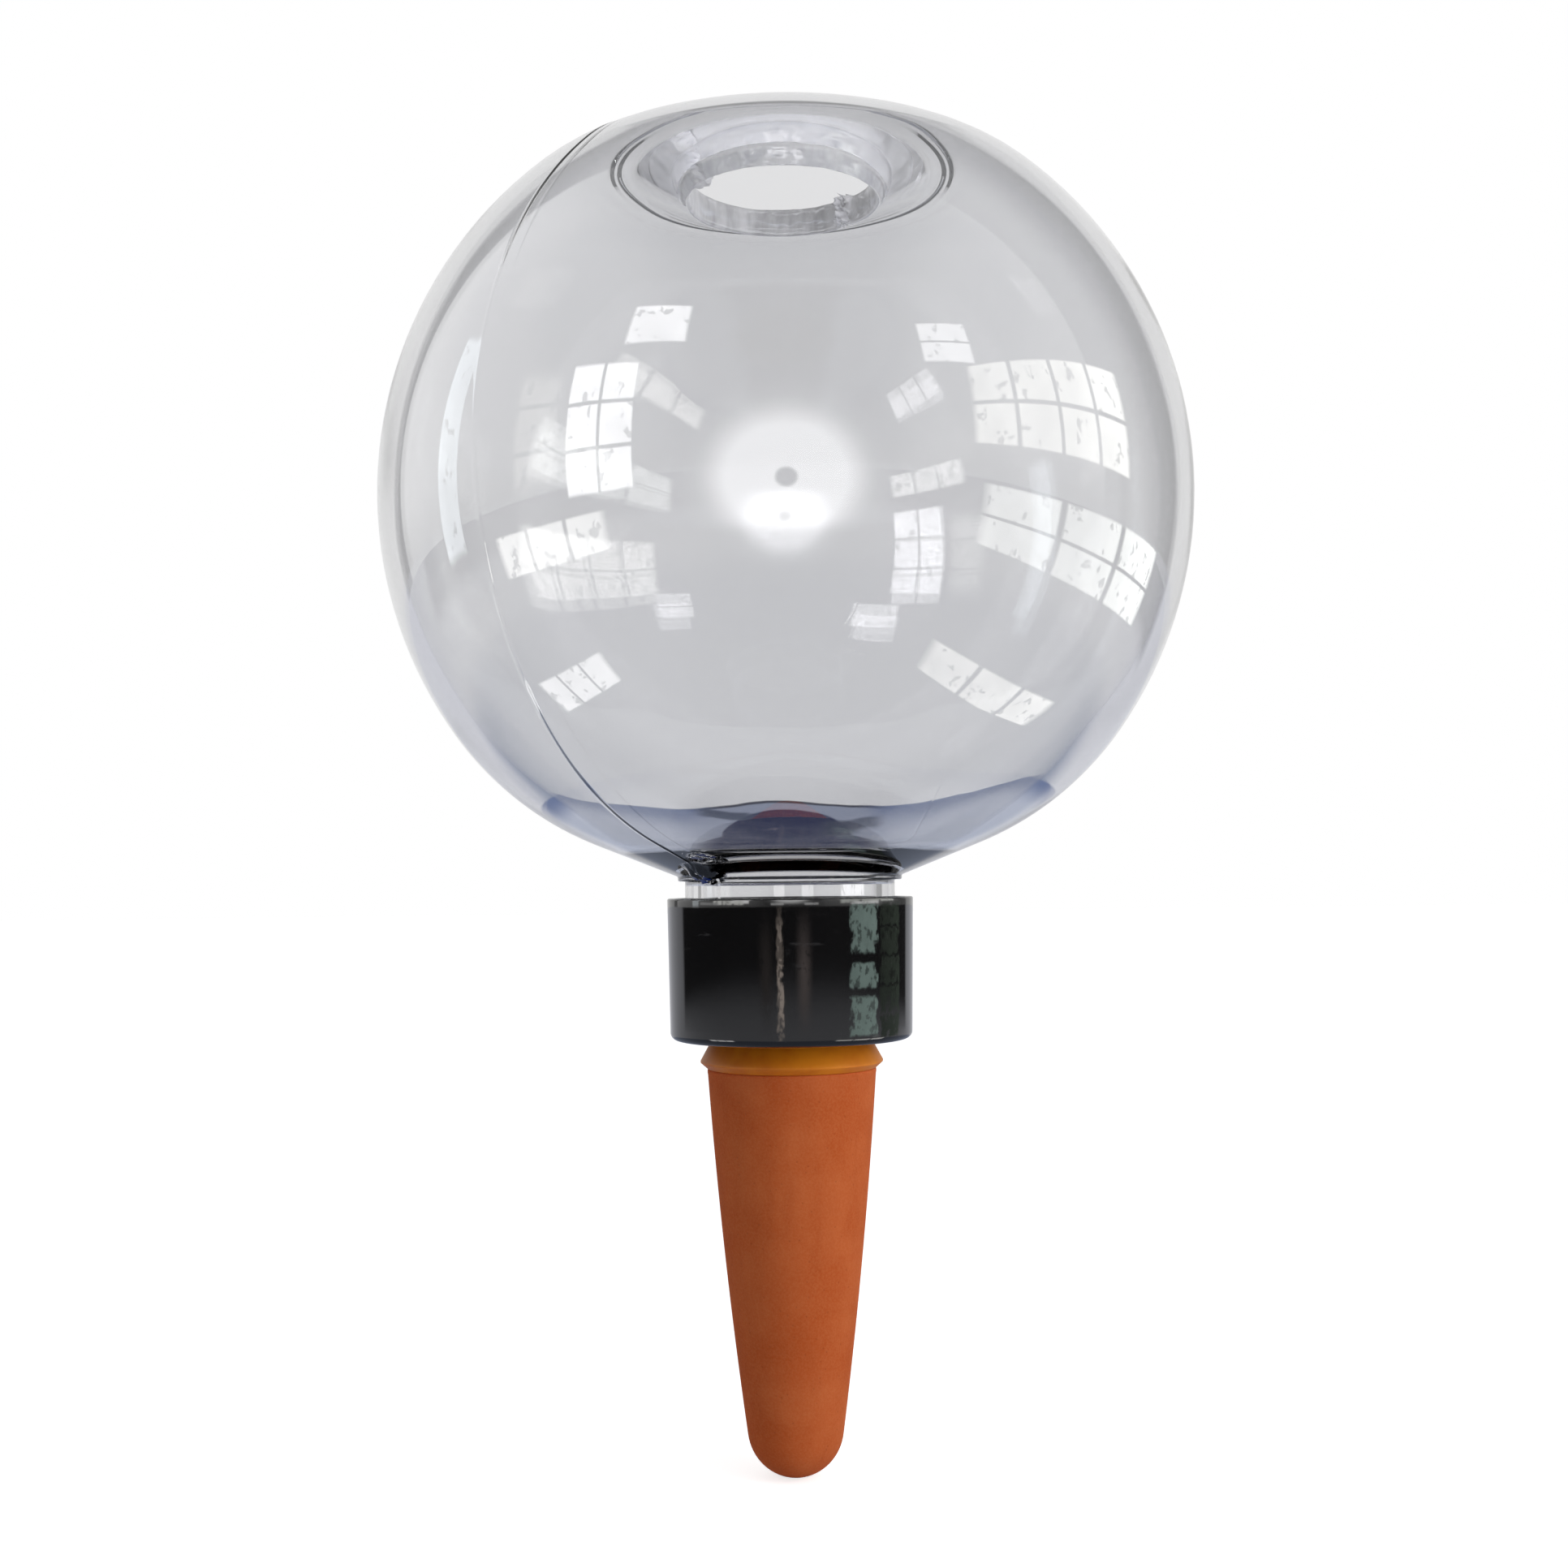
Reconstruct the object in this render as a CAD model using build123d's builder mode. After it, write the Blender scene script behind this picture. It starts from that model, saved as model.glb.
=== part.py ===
from build123d import *
import os
from math import cos, radians, sin, sqrt, tan

# A watering globe: a clear blown plastic globe stands upside down on its threaded neck in a black screw
# collar, and the collar holds a hollow terracotta spike that lets the water seep into the soil.
# All the pieces are turned about the Z axis. The origin is on that axis at the spike's shoulder, which
# is the soil line, with the globe above it and the buried cone below it.

# One overrun for every cut, so that no cut ends flush with the face it opens
overrun = 1.0

# Terracotta spike: buried cone, spigot and head
spike_length = 50.0
spike_shoulder_radius = 10.5
spike_tip_radius = 5.95
spike_tip_angle = 7.8  # degrees between the flank and the axis where the round tip begins
spike_tip_wall = 3.6
spigot_radius = 8.4
head_height = 2.2
core_mouth_radius = 5.8
core_tip_radius = 2.9
spike_edge_round = 0.35

# Threaded neck of the globe, as on a common bottle with a 28 mm thread
neck_bore_radius = 10.85
neck_wall = 2.25
neck_reveal = 2.1
neck_edge_round = 0.4
bead_projection = 0.9
bead_height = 0.6
bead_round_share = 0.4  # of the bead's height

# Blown ball of the globe
globe_radius = 50.5
globe_sink = 3.7  # how far the whole ball's lowest point would lie below the top of the neck's bead
globe_wall = 1.9
shoulder_wall_bias = 3.75  # the inner wall's lower arc is struck this far off the axis: it thickens to the neck
base_wall_bias = 1.0  # and its upper arc this far beyond the axis: it thins to the base
shoulder_angle = 21.8  # degrees above level where the shoulder leaves the neck
shoulder_cone_share = 0.473  # of the globe's radius, out to where the conical shoulder ends
mouth_round = 1.6

# Flattened base of the blown ball, which is on top in use, with the filler hole cut in it
base_flat = 7.4
base_corner_radius = 21.2
base_wall = 1.4
base_recess = 0.35
base_inner_round = 19.6
gate_thickness = 4.15  # of the base at the hole, in the middle where the plastic was fed in
gate_round = 4.0
foot_ring_radius = 21.35
foot_ring_width = 1.5
foot_ring_rise = 0.4
filler_hole_radius = 11.9
filler_edge_round = 0.45

# Screw collar
collar_height = 17.5
collar_wall = 1.4
collar_draft = 1.0  # degrees
collar_panel_thickness = 2.0
collar_bottom_round = 0.9
collar_top_round = 0.25
collar_lead_in = 0.6
thread_depth = 0.65
thread_clearance = 0.2

# Rubber gasket that flares out under the collar
gasket_reveal = 3.6
gasket_rim_projection = 0.85
gasket_rim_height = 0.75
gasket_rim_land = 0.2
gasket_cone_drop = 0.1  # the flare begins this far below the collar
gasket_edge_round = 0.15

# Flat washer that the neck's rim is screwed down on
washer_thickness = 1.8
washer_edge_round = 0.2

# Fits
hole_step = 0.7  # the hole in the collar's panel is this much smaller than the neck's bore
head_clearance = 0.25
sleeve_clearance = 0.2
gasket_fit = 0.1
washer_fit = 0.15
washer_clearance = 0.4

# Heights, from the soil line up
collar_bottom = gasket_reveal
panel_top = collar_bottom + collar_panel_thickness
neck_rim = panel_top + washer_thickness
head_top = neck_rim + head_height
collar_top = collar_bottom + collar_height
bead_bottom = collar_top + neck_reveal
bead_top = bead_bottom + bead_height
globe_centre = bead_top + globe_radius - globe_sink
base_top = globe_centre + globe_radius - base_flat
panel_level = base_top - base_recess
base_ceiling = base_top - base_wall
gate_level = panel_level - gate_thickness

# Radii that follow from the fits
neck_radius = neck_bore_radius + neck_wall
bead_radius = neck_radius + bead_projection
panel_hole_radius = neck_bore_radius - hole_step
head_radius = panel_hole_radius - head_clearance
sleeve_radius = panel_hole_radius - sleeve_clearance
gasket_bore_radius = spigot_radius + gasket_fit
gasket_rim_radius = spike_shoulder_radius + gasket_rim_projection
washer_bore_radius = spigot_radius + washer_fit
collar_bore_radius = neck_radius + thread_depth + thread_clearance
collar_top_radius = collar_bore_radius + collar_wall
collar_bottom_radius = collar_top_radius - collar_height * tan(radians(collar_draft))
washer_radius = collar_bore_radius - washer_clearance


def shoulder_points():
    """Where the shoulder's cone ends, and where the arc that goes on from the cone without a break runs
    into the ball."""
    slope = radians(shoulder_angle)
    cone_end_radius = shoulder_cone_share * globe_radius
    cone_end_height = bead_top + (cone_end_radius - bead_radius) * tan(slope)
    drop = globe_centre - cone_end_height
    # The arc's centre lies on the cone's normal, and the arc touches the ball from inside.
    normal_reach = cone_end_radius * sin(slope) + drop * cos(slope)
    blend_radius = (globe_radius**2 - cone_end_radius**2 - drop**2) / (2 * (globe_radius - normal_reach))
    centre_radius = cone_end_radius - blend_radius * sin(slope)
    centre_drop = drop - blend_radius * cos(slope)
    scale = globe_radius / (globe_radius - blend_radius)
    return (cone_end_radius, cone_end_height), (centre_radius * scale, globe_centre - centre_drop * scale)


def base_points():
    """Where the ball runs into the base's rounded corner, then the foot ring's outer edge on that
    corner, its crest and its inner edge on the base."""
    reach = globe_radius - base_corner_radius
    rise = reach - base_flat
    flat_radius = sqrt(reach**2 - rise**2)
    scale = globe_radius / reach
    corner_start = (flat_radius * scale, globe_centre + rise * scale)
    ring_outer_radius = foot_ring_radius + foot_ring_width / 2
    ring_drop = base_corner_radius - sqrt(base_corner_radius**2 - (ring_outer_radius - flat_radius) ** 2)
    ring_outer = (ring_outer_radius, base_top - ring_drop)
    ring_crest = (foot_ring_radius, base_top - ring_drop + foot_ring_rise)
    ring_inner = (foot_ring_radius - foot_ring_width / 2, panel_level)
    return corner_start, ring_outer, ring_crest, ring_inner


def inner_wall_points():
    """Where the inner wall's lower arc leaves the neck's bore and crosses the equator, then where its
    upper arc runs into the base's rounded corner and the corner ends on the ceiling."""
    lower_radius = globe_radius - globe_wall - shoulder_wall_bias
    mouth_drop = sqrt(lower_radius**2 - (neck_bore_radius - shoulder_wall_bias) ** 2)
    mouth = (neck_bore_radius, globe_centre - mouth_drop)
    equator = (globe_radius - globe_wall, globe_centre)
    upper_radius = globe_radius - globe_wall + base_wall_bias
    reach = upper_radius - base_inner_round
    rise = base_ceiling - base_inner_round - globe_centre
    level_reach = sqrt(reach**2 - rise**2)
    scale = upper_radius / reach
    corner = (level_reach * scale - base_wall_bias, globe_centre + rise * scale)
    return mouth, equator, corner, (level_reach - base_wall_bias, base_ceiling)


# Globe: blown in one piece with its neck, open at both ends
cone_end, blend_end = shoulder_points()
corner_start, ring_outer, ring_crest, ring_inner = base_points()
cone_direction = (cos(radians(shoulder_angle)), sin(radians(shoulder_angle)))
mouth, inner_equator, inner_corner, ceiling_edge = inner_wall_points()
gate_slope = (base_ceiling - gate_level) / (ceiling_edge[0] - filler_hole_radius)
gate_edge = (filler_hole_radius - overrun, gate_level - overrun * gate_slope)

with BuildPart() as globe:
    with BuildSketch(Plane.XZ):
        with BuildLine():
            Polyline(
                (0, panel_level),
                (0, neck_rim),
                (neck_radius, neck_rim),
                (neck_radius, bead_bottom),
                (bead_radius, bead_bottom),
                (bead_radius, bead_top),
                cone_end,
            )
            blend = TangentArc(cone_end, blend_end, tangent=cone_direction)
            ball = TangentArc(blend_end, corner_start, tangent=blend % 1)
            TangentArc(corner_start, ring_outer, tangent=ball % 1)
            ThreePointArc(ring_outer, ring_crest, ring_inner)
            Line(ring_inner, (0, panel_level))
        make_face()
        levels = vertices().group_by(Axis.Y)
        bead_corners = [levels[1].sort_by(Axis.X)[-1], levels[2][0]]
        fillet(bead_corners, radius=bead_round_share * bead_height)
        fillet(vertices().group_by(Axis.Y)[0].sort_by(Axis.X)[-1], radius=neck_edge_round)
    revolve(axis=Axis.Z)
    # Cavity and neck bore in one cut
    with BuildSketch(Plane.XZ):
        with BuildLine():
            Polyline(
                ceiling_edge,
                gate_edge,
                (0, gate_edge[1]),
                (0, neck_rim - overrun),
                (neck_bore_radius, neck_rim - overrun),
                mouth,
            )
            TangentArc(inner_equator, mouth, tangent=(0, -1))
            upper_wall = TangentArc(inner_equator, inner_corner, tangent=(0, 1))
            TangentArc(inner_corner, ceiling_edge, tangent=upper_wall % 1)
        make_face()
        fillet(vertices().sort_by_distance(ceiling_edge)[0], radius=gate_round)
        fillet(vertices().sort_by_distance(mouth)[0], radius=mouth_round)
    revolve(axis=Axis.Z, mode=Mode.SUBTRACT)
    fillet(edges(Select.LAST).group_by(Axis.Z)[0], radius=neck_edge_round)
    # Filler hole through the base
    with BuildSketch(Plane.XY.offset(gate_edge[1] - overrun)):
        Circle(filler_hole_radius)
    extrude(amount=panel_level - gate_edge[1] + 2 * overrun, mode=Mode.SUBTRACT)
    fillet(edges(Select.LAST).filter_by(GeomType.CIRCLE), radius=filler_edge_round)
globe.part.label = "globe"

# Collar: moulded screw collar, its walls drawn in towards the bottom panel
with BuildPart() as collar:
    with BuildSketch(Plane.XZ):
        with BuildLine():
            Polyline(
                (panel_hole_radius, collar_bottom),
                (collar_bottom_radius, collar_bottom),
                (collar_top_radius, collar_top),
                (collar_bore_radius, collar_top),
                (collar_bore_radius, panel_top),
                (panel_hole_radius, panel_top),
                close=True,
            )
        make_face()
        fillet(vertices().group_by(Axis.Y)[0].sort_by(Axis.X)[-1], radius=collar_bottom_round)
        fillet(vertices().sort_by(Axis.X)[-1], radius=collar_top_round)
        chamfer(vertices().group_by(Axis.Y)[-1].sort_by(Axis.X)[0], length=collar_lead_in)
    revolve(axis=Axis.Z)
collar.part.label = "collar"

# Washer: flat rubber ring on the collar's panel, between the neck's rim and the head of the spike
with BuildPart() as washer:
    with BuildSketch(Plane.XY.offset(panel_top)):
        Circle(washer_radius)
        Circle(washer_bore_radius, mode=Mode.SUBTRACT)
    extrude(amount=washer_thickness)
    rims = edges().filter_by(GeomType.CIRCLE)
    fillet(rims.sort_by(SortBy.RADIUS)[-2:], radius=washer_edge_round)
washer.part.label = "washer"

# Gasket: rubber sleeve round the spigot, flaring out below the collar over the shoulder of the clay
with BuildPart() as gasket:
    with BuildSketch(Plane.XZ):
        with BuildLine():
            Polyline(
                (gasket_bore_radius, 0),
                (spike_shoulder_radius, 0),
                (gasket_rim_radius, gasket_rim_height),
                (gasket_rim_radius, gasket_rim_height + gasket_rim_land),
                (sleeve_radius, collar_bottom - gasket_cone_drop),
                (sleeve_radius, panel_top),
                (gasket_bore_radius, panel_top),
                close=True,
            )
        make_face()
        fillet(vertices().group_by(Axis.X)[-1].sort_by(Axis.Y)[-1], radius=gasket_edge_round)
    revolve(axis=Axis.Z)
gasket.part.label = "gasket"

# Spike: hollow fired clay, with a spigot up through the gasket, the collar and the washer to its head
tip_centre = -spike_length + spike_tip_radius
tip_angle = radians(spike_tip_angle)
flank_end = (spike_tip_radius * cos(tip_angle), tip_centre - spike_tip_radius * sin(tip_angle))
core_tip_centre = -spike_length + spike_tip_wall + core_tip_radius

with BuildPart() as spike:
    with BuildSketch(Plane.XZ):
        with BuildLine():
            tip = CenterArc((0, tip_centre), spike_tip_radius, -90, 90 - spike_tip_angle)
            TangentArc(flank_end, (spike_shoulder_radius, 0), tangent=tip % 1)
            Polyline(
                (spike_shoulder_radius, 0),
                (spigot_radius, 0),
                (spigot_radius, neck_rim),
                (head_radius, neck_rim),
                (head_radius, head_top),
                (0, head_top),
                (0, -spike_length),
            )
        make_face()
        fillet(vertices().sort_by(Axis.X)[-1], radius=spike_edge_round)
        fillet(vertices().group_by(Axis.Y)[-1].sort_by(Axis.X)[-1], radius=spike_edge_round)
    revolve(axis=Axis.Z)
    with BuildSketch(Plane.XZ):
        with BuildLine():
            core_tip = CenterArc((0, core_tip_centre), core_tip_radius, -90, 90)
            Polyline(
                core_tip @ 1,
                (core_mouth_radius, head_top),
                (core_mouth_radius, head_top + overrun),
                (0, head_top + overrun),
                core_tip @ 0,
            )
        make_face()
    revolve(axis=Axis.Z, mode=Mode.SUBTRACT)
    fillet(edges(Select.LAST).group_by(Axis.Z)[-1], radius=spike_edge_round)
spike.part.label = "spike"

os.makedirs("parts", exist_ok=True)
export_step(spike.part, "parts/spike.step")
export_step(gasket.part, "parts/gasket.step")
export_step(washer.part, "parts/washer.step")
export_step(collar.part, "parts/collar.step")
export_step(globe.part, "parts/globe.step")
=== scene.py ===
from math import acos, asin, atan2, ceil, cos, degrees, hypot, pi, radians, sin, sqrt, tan

import bpy
from mathutils import Euler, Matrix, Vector


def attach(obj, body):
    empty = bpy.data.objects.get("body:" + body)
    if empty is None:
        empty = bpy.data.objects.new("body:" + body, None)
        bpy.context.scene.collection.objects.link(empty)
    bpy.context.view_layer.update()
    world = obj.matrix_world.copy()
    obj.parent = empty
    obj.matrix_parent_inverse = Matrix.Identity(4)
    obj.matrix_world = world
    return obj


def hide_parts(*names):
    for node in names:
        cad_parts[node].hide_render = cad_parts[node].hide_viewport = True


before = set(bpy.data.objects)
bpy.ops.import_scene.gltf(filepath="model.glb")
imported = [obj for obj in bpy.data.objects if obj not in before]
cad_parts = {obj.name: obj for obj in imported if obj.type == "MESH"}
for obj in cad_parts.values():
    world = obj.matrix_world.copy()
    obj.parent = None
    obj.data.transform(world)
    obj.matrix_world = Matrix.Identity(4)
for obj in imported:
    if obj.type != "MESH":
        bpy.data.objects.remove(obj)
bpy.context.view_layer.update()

mm = 0.001

# ------------------------------------------------------------------------------------------------------
# Spike: one piece of fired red clay, round at the tip and hollow. Its spigot goes up through the
# gasket, the collar's panel and the washer, and its head rests on the washer. Water seeps out through
# the wall.

SPIKE_LENGTH = 50.0 * mm
SPIKE_SHOULDER_RADIUS = 10.5 * mm
SPIKE_TIP_RADIUS = 5.95 * mm
SPIKE_TIP_ANGLE = 7.8
SPIKE_TIP_WALL = 3.6 * mm
SPIKE_CORE_MOUTH = 5.8 * mm
SPIKE_CORE_TIP = 2.9 * mm
SPIGOT_RADIUS = 8.4 * mm
HEAD_RADIUS = 9.9 * mm
HEAD_BOTTOM = 7.4 * mm
HEAD_TOP = 9.6 * mm
CLAY_EDGE = 0.35 * mm
# Just outside the hollow's wall: its radius at the shoulder, and how much that grows with the height
CORE_AT_SHOULDER = 5.6 * mm
CORE_SLOPE = 0.0546
# Points closer than these are one point, of an outline and of the skin turned from it
OUTLINE_MERGE = 2e-6
SKIN_MERGE = 2e-7


def arc(centre, radius, start, end, step):
    """Points of an outline along an arc, from one angle to another in degrees, about step apart."""
    count = max(2, ceil(abs(radians(end - start)) * radius / step))
    angles = [radians(start + (end - start) * i / count) for i in range(count + 1)]
    return [(centre[0] + radius * cos(a), centre[1] + radius * sin(a)) for a in angles]


def rounded(points, step=0.12 * mm):
    """An outline's straight runs with its corners rounded. A point is (radius, height) or, with the
    round of its corner, (radius, height, round)."""
    outline = [points[0][:2]]
    for before, corner, after in zip(points, points[1:], points[2:]):
        if len(corner) == 2:
            outline.append(corner)
            continue
        at = Vector(corner[:2])
        back, on = (Vector(before[:2]) - at).normalized(), (Vector(after[:2]) - at).normalized()
        half = acos(back.dot(on)) / 2
        centre = at + (back + on).normalized() * corner[2] / sin(half)
        first = at + back * corner[2] / tan(half) - centre
        last = at + on * corner[2] / tan(half) - centre
        start, end = degrees(atan2(first.y, first.x)), degrees(atan2(last.y, last.x))
        end += 360 * round((start - end) / 360)
        outline += arc(centre, corner[2], start, end, step)
    return outline + [points[-1][:2]]


def spaced(outline, step):
    """The outline with its long runs divided, so that no two points are further apart than step."""
    points = []
    for (x0, y0), (x1, y1) in zip(outline, outline[1:]):
        count = max(1, ceil(hypot(x1 - x0, y1 - y0) / step - 1e-6))
        points += [(x0 + (x1 - x0) * i / count, y0 + (y1 - y0) * i / count) for i in range(count)]
    return points + [outline[-1]]


def joined(*runs):
    """Several runs of points as one closed outline, each shared point kept once."""
    points = []
    for x, y in (point for run in runs for point in run):
        if not points or hypot(x - points[-1][0], y - points[-1][1]) > OUTLINE_MERGE:
            points.append((x, y))
    return points


class Wire:
    """A node's socket that can be reckoned with: an expression on wires adds its Math nodes."""

    def __init__(self, socket):
        self.socket = socket
        self.tree = socket.id_data

    @classmethod
    def node(cls, tree, kind, settings=None, sockets=None, outlet=0):
        """A new node's outlet. The node gets its settings first, then its sockets' values or wires."""
        node = tree.nodes.new(kind)
        for name, value in (settings or {}).items():
            setattr(node, name, value)
        for name, value in (sockets or {}).items():
            if isinstance(value, cls):
                tree.links.new(value.socket, node.inputs[name])
            else:
                node.inputs[name].default_value = value
        return cls(node.outputs[outlet]) if len(node.outputs) else None

    def outlet(self, name):
        """Another outlet of the same node."""
        return Wire(self.socket.node.outputs[name])

    def feed(self, node, name):
        """Links the wire to a socket of a node that is there already."""
        self.tree.links.new(self.socket, node.inputs[name])

    def math(self, operation, *values):
        sockets = dict(enumerate(values)) if values else {0: self}
        return Wire.node(self.tree, "ShaderNodeMath", {"operation": operation}, sockets)

    def __add__(self, other):
        return self.math("ADD", self, other)

    def __radd__(self, other):
        return self.math("ADD", other, self)

    def __sub__(self, other):
        return self.math("SUBTRACT", self, other)

    def __rsub__(self, other):
        return self.math("SUBTRACT", other, self)

    def __mul__(self, other):
        return self.math("MULTIPLY", self, other)

    def __rmul__(self, other):
        return self.math("MULTIPLY", other, self)

    def __truediv__(self, other):
        return self.math("DIVIDE", self, other)

    def __rtruediv__(self, other):
        return self.math("DIVIDE", other, self)

    def __pow__(self, other):
        return self.math("POWER", self, other)

    def sin(self):
        return self.math("SINE")

    def cos(self):
        return self.math("COSINE")

    def abs(self):
        return self.math("ABSOLUTE")

    def round(self):
        return self.math("ROUND")

    def ease(self, low, high):
        """0 up to low, 1 from high on, and smooth between them. Where low is the higher, it falls."""
        sign = 1 if high > low else -1
        settings = {"interpolation_type": "SMOOTHSTEP"}
        sockets = {0: self * sign if sign < 0 else self, 1: low * sign, 2: high * sign, 3: 0.0, 4: 1.0}
        return Wire.node(self.tree, "ShaderNodeMapRange", settings, sockets)

    def between(self, low, high):
        """0 where the wire is 0 and 1 where it is 1, spread over low to high."""
        return self * (high - low) + low


def split(tree, vector):
    """The X, Y and Z of a vector."""
    x = Wire.node(tree, "ShaderNodeSeparateXYZ", {}, {0: vector})
    return x, x.outlet("Y"), x.outlet("Z")


def combine(tree, x, y, z):
    """The vector with the given X, Y and Z."""
    return Wire.node(tree, "ShaderNodeCombineXYZ", {}, {0: x, 1: y, 2: z})


def vectors(tree, operation, first, second, outlet=0):
    """Two vectors reckoned together, or one scaled by a number."""
    sockets = {0: first, "Scale" if operation == "SCALE" else 1: second}
    return Wire.node(tree, "ShaderNodeVectorMath", {"operation": operation}, sockets, outlet)


def length(x, y):
    """How far x one way and y across it lead."""
    return (x * x + y * y) ** 0.5


def new_tree(name, sizes):
    """An empty rule for Geometry Nodes with its named inputs, and the wires of those inputs by name."""
    tree = bpy.data.node_groups.new(name, "GeometryNodeTree")
    tree.interface.new_socket("Geometry", in_out="INPUT", socket_type="NodeSocketGeometry")
    for size, kind in sizes.items():
        tree.interface.new_socket(size, in_out="INPUT", socket_type="NodeSocket" + kind)
    tree.interface.new_socket("Finish", in_out="INPUT", socket_type="NodeSocketMaterial")
    tree.interface.new_socket("Geometry", in_out="OUTPUT", socket_type="NodeSocketGeometry")
    inputs = tree.nodes.new("NodeGroupInput")
    return tree, {socket.name: Wire(socket) for socket in inputs.outputs if socket.name}


def close_tree(tree, geometry, given):
    """Ends a rule with smooth faces, real geometry and the piece's finish."""
    smooth = Wire.node(tree, "GeometryNodeSetShadeSmooth", {}, {"Geometry": geometry})
    real = Wire.node(tree, "GeometryNodeRealizeInstances", {}, {"Geometry": smooth})
    sockets = {"Geometry": real, "Material": given["Finish"]}
    finished = Wire.node(tree, "GeometryNodeSetMaterial", {}, sockets)
    Wire.node(tree, "NodeGroupOutput", {}, {"Geometry": finished})


def move_and_close(tree, offset, given):
    """Ends a rule that moves the points of what it is given."""
    sockets = {"Geometry": given["Geometry"], "Offset": offset}
    close_tree(tree, Wire.node(tree, "GeometryNodeSetPosition", {}, sockets), given)


def turning_rule():
    """Turns the outline that it is given, a closed loop of points in X and Z, about the Z axis. Gather
    crowds the facets towards two opposite sides, so that fine lines there have enough of them."""
    sizes = {"Facets": "Int", "Gather": "Float", "Gather angle": "Float"}
    tree, given = new_tree("turned about the axis", sizes)
    outline = given["Geometry"]
    count = Wire.node(tree, "GeometryNodeAttributeDomainSize", {}, {0: outline})
    sockets = {"Size X": 1.0, "Size Y": 1.0}
    sockets.update({"Vertices X": given["Facets"] + 1, "Vertices Y": count + 1})
    grid = Wire.node(tree, "GeometryNodeMeshGrid", {}, sockets)
    place = Wire.node(tree, "GeometryNodeInputPosition")
    across, up, _ = split(tree, place)
    column = ((across + 0.5) * given["Facets"]).round()
    row = ((up + 0.5) * count).round()
    column = column.math("FLOORED_MODULO", column, given["Facets"])
    row = row.math("FLOORED_MODULO", row, count)
    angle = column * (2 * pi) / given["Facets"]
    angle = angle - given["Gather"] * ((angle - given["Gather angle"]) * 2).sin()
    sockets = {"Geometry": outline, "Value": place, "Index": row}
    point = Wire.node(tree, "GeometryNodeSampleIndex", {"data_type": "FLOAT_VECTOR"}, sockets)
    radius, _, height = split(tree, point)
    turned = combine(tree, radius * angle.cos(), radius * angle.sin(), height)
    skin = Wire.node(tree, "GeometryNodeSetPosition", {}, {"Geometry": grid, "Position": turned})
    sockets = {"Geometry": skin, "Distance": SKIN_MERGE}
    skin = Wire.node(tree, "GeometryNodeMergeByDistance", {}, sockets)
    close_tree(tree, skin, given)
    return tree


def new_piece(name, points, edges, faces):
    """An object in the scene with a mesh of the same name."""
    mesh = bpy.data.meshes.new(name)
    mesh.from_pydata(points, edges, faces)
    piece = bpy.data.objects.new(name, mesh)
    bpy.context.scene.collection.objects.link(piece)
    return piece


def outlined(name, outline):
    """A piece that so far is only its outline, a closed loop of edges. The points run against the clock
    as seen from the front, or the skin turned from them faces inward."""
    count = len(outline)
    edges = [(i, (i + 1) % count) for i in range(count)]
    return new_piece(name, [(r, 0.0, z) for r, z in outline], edges, [])


def follow(piece, tree, sizes):
    """Puts a rule on the piece, with its sizes given by name."""
    rule = piece.modifiers.new(tree.name, "NODES")
    rule.node_group = tree
    for socket in tree.interface.items_tree:
        if socket.name in sizes:
            rule[socket.identifier] = sizes[socket.name]


def made_plain(piece):
    """Keeps what the piece's rules make as its own mesh, and takes the rules off."""
    evaluated = piece.evaluated_get(bpy.context.evaluated_depsgraph_get())
    mesh = bpy.data.meshes.new_from_object(evaluated)
    piece.modifiers.clear()
    piece.data = mesh
    mesh.name = piece.name


def new_finish(name):
    """A new material, its tree, its Principled shader and the piece's own coordinates."""
    finish = bpy.data.materials.new(name)
    finish.use_nodes = True
    tree = finish.node_tree
    place = Wire.node(tree, "ShaderNodeTexCoord").outlet("Object")
    return finish, tree, tree.nodes["Principled BSDF"], place


def noise(tree, place, scale, detail=3.0, roughness=0.5, stretch=None):
    """Noise on the piece's own coordinates, from 0 to 1. The scale counts features to a metre."""
    if stretch:
        place = vectors(tree, "MULTIPLY", place, stretch)
    sockets = {"Vector": place, "Scale": scale, "Detail": detail, "Roughness": roughness}
    return Wire.node(tree, "ShaderNodeTexNoise", {}, sockets)


def blend(tree, amount, first, second):
    """Two colours mixed."""
    sockets = {0: amount, 6: first, 7: second}
    return Wire.node(tree, "ShaderNodeMix", {"data_type": "RGBA"}, sockets, outlet=2)


def emboss(tree, shader, height, strength, depth):
    """Lets a pattern of heights, from 0 to 1, bend the shader's normal."""
    sockets = {"Strength": strength, "Distance": depth, "Height": height}
    Wire.node(tree, "ShaderNodeBump", {}, sockets).feed(shader, "Normal")


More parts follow.
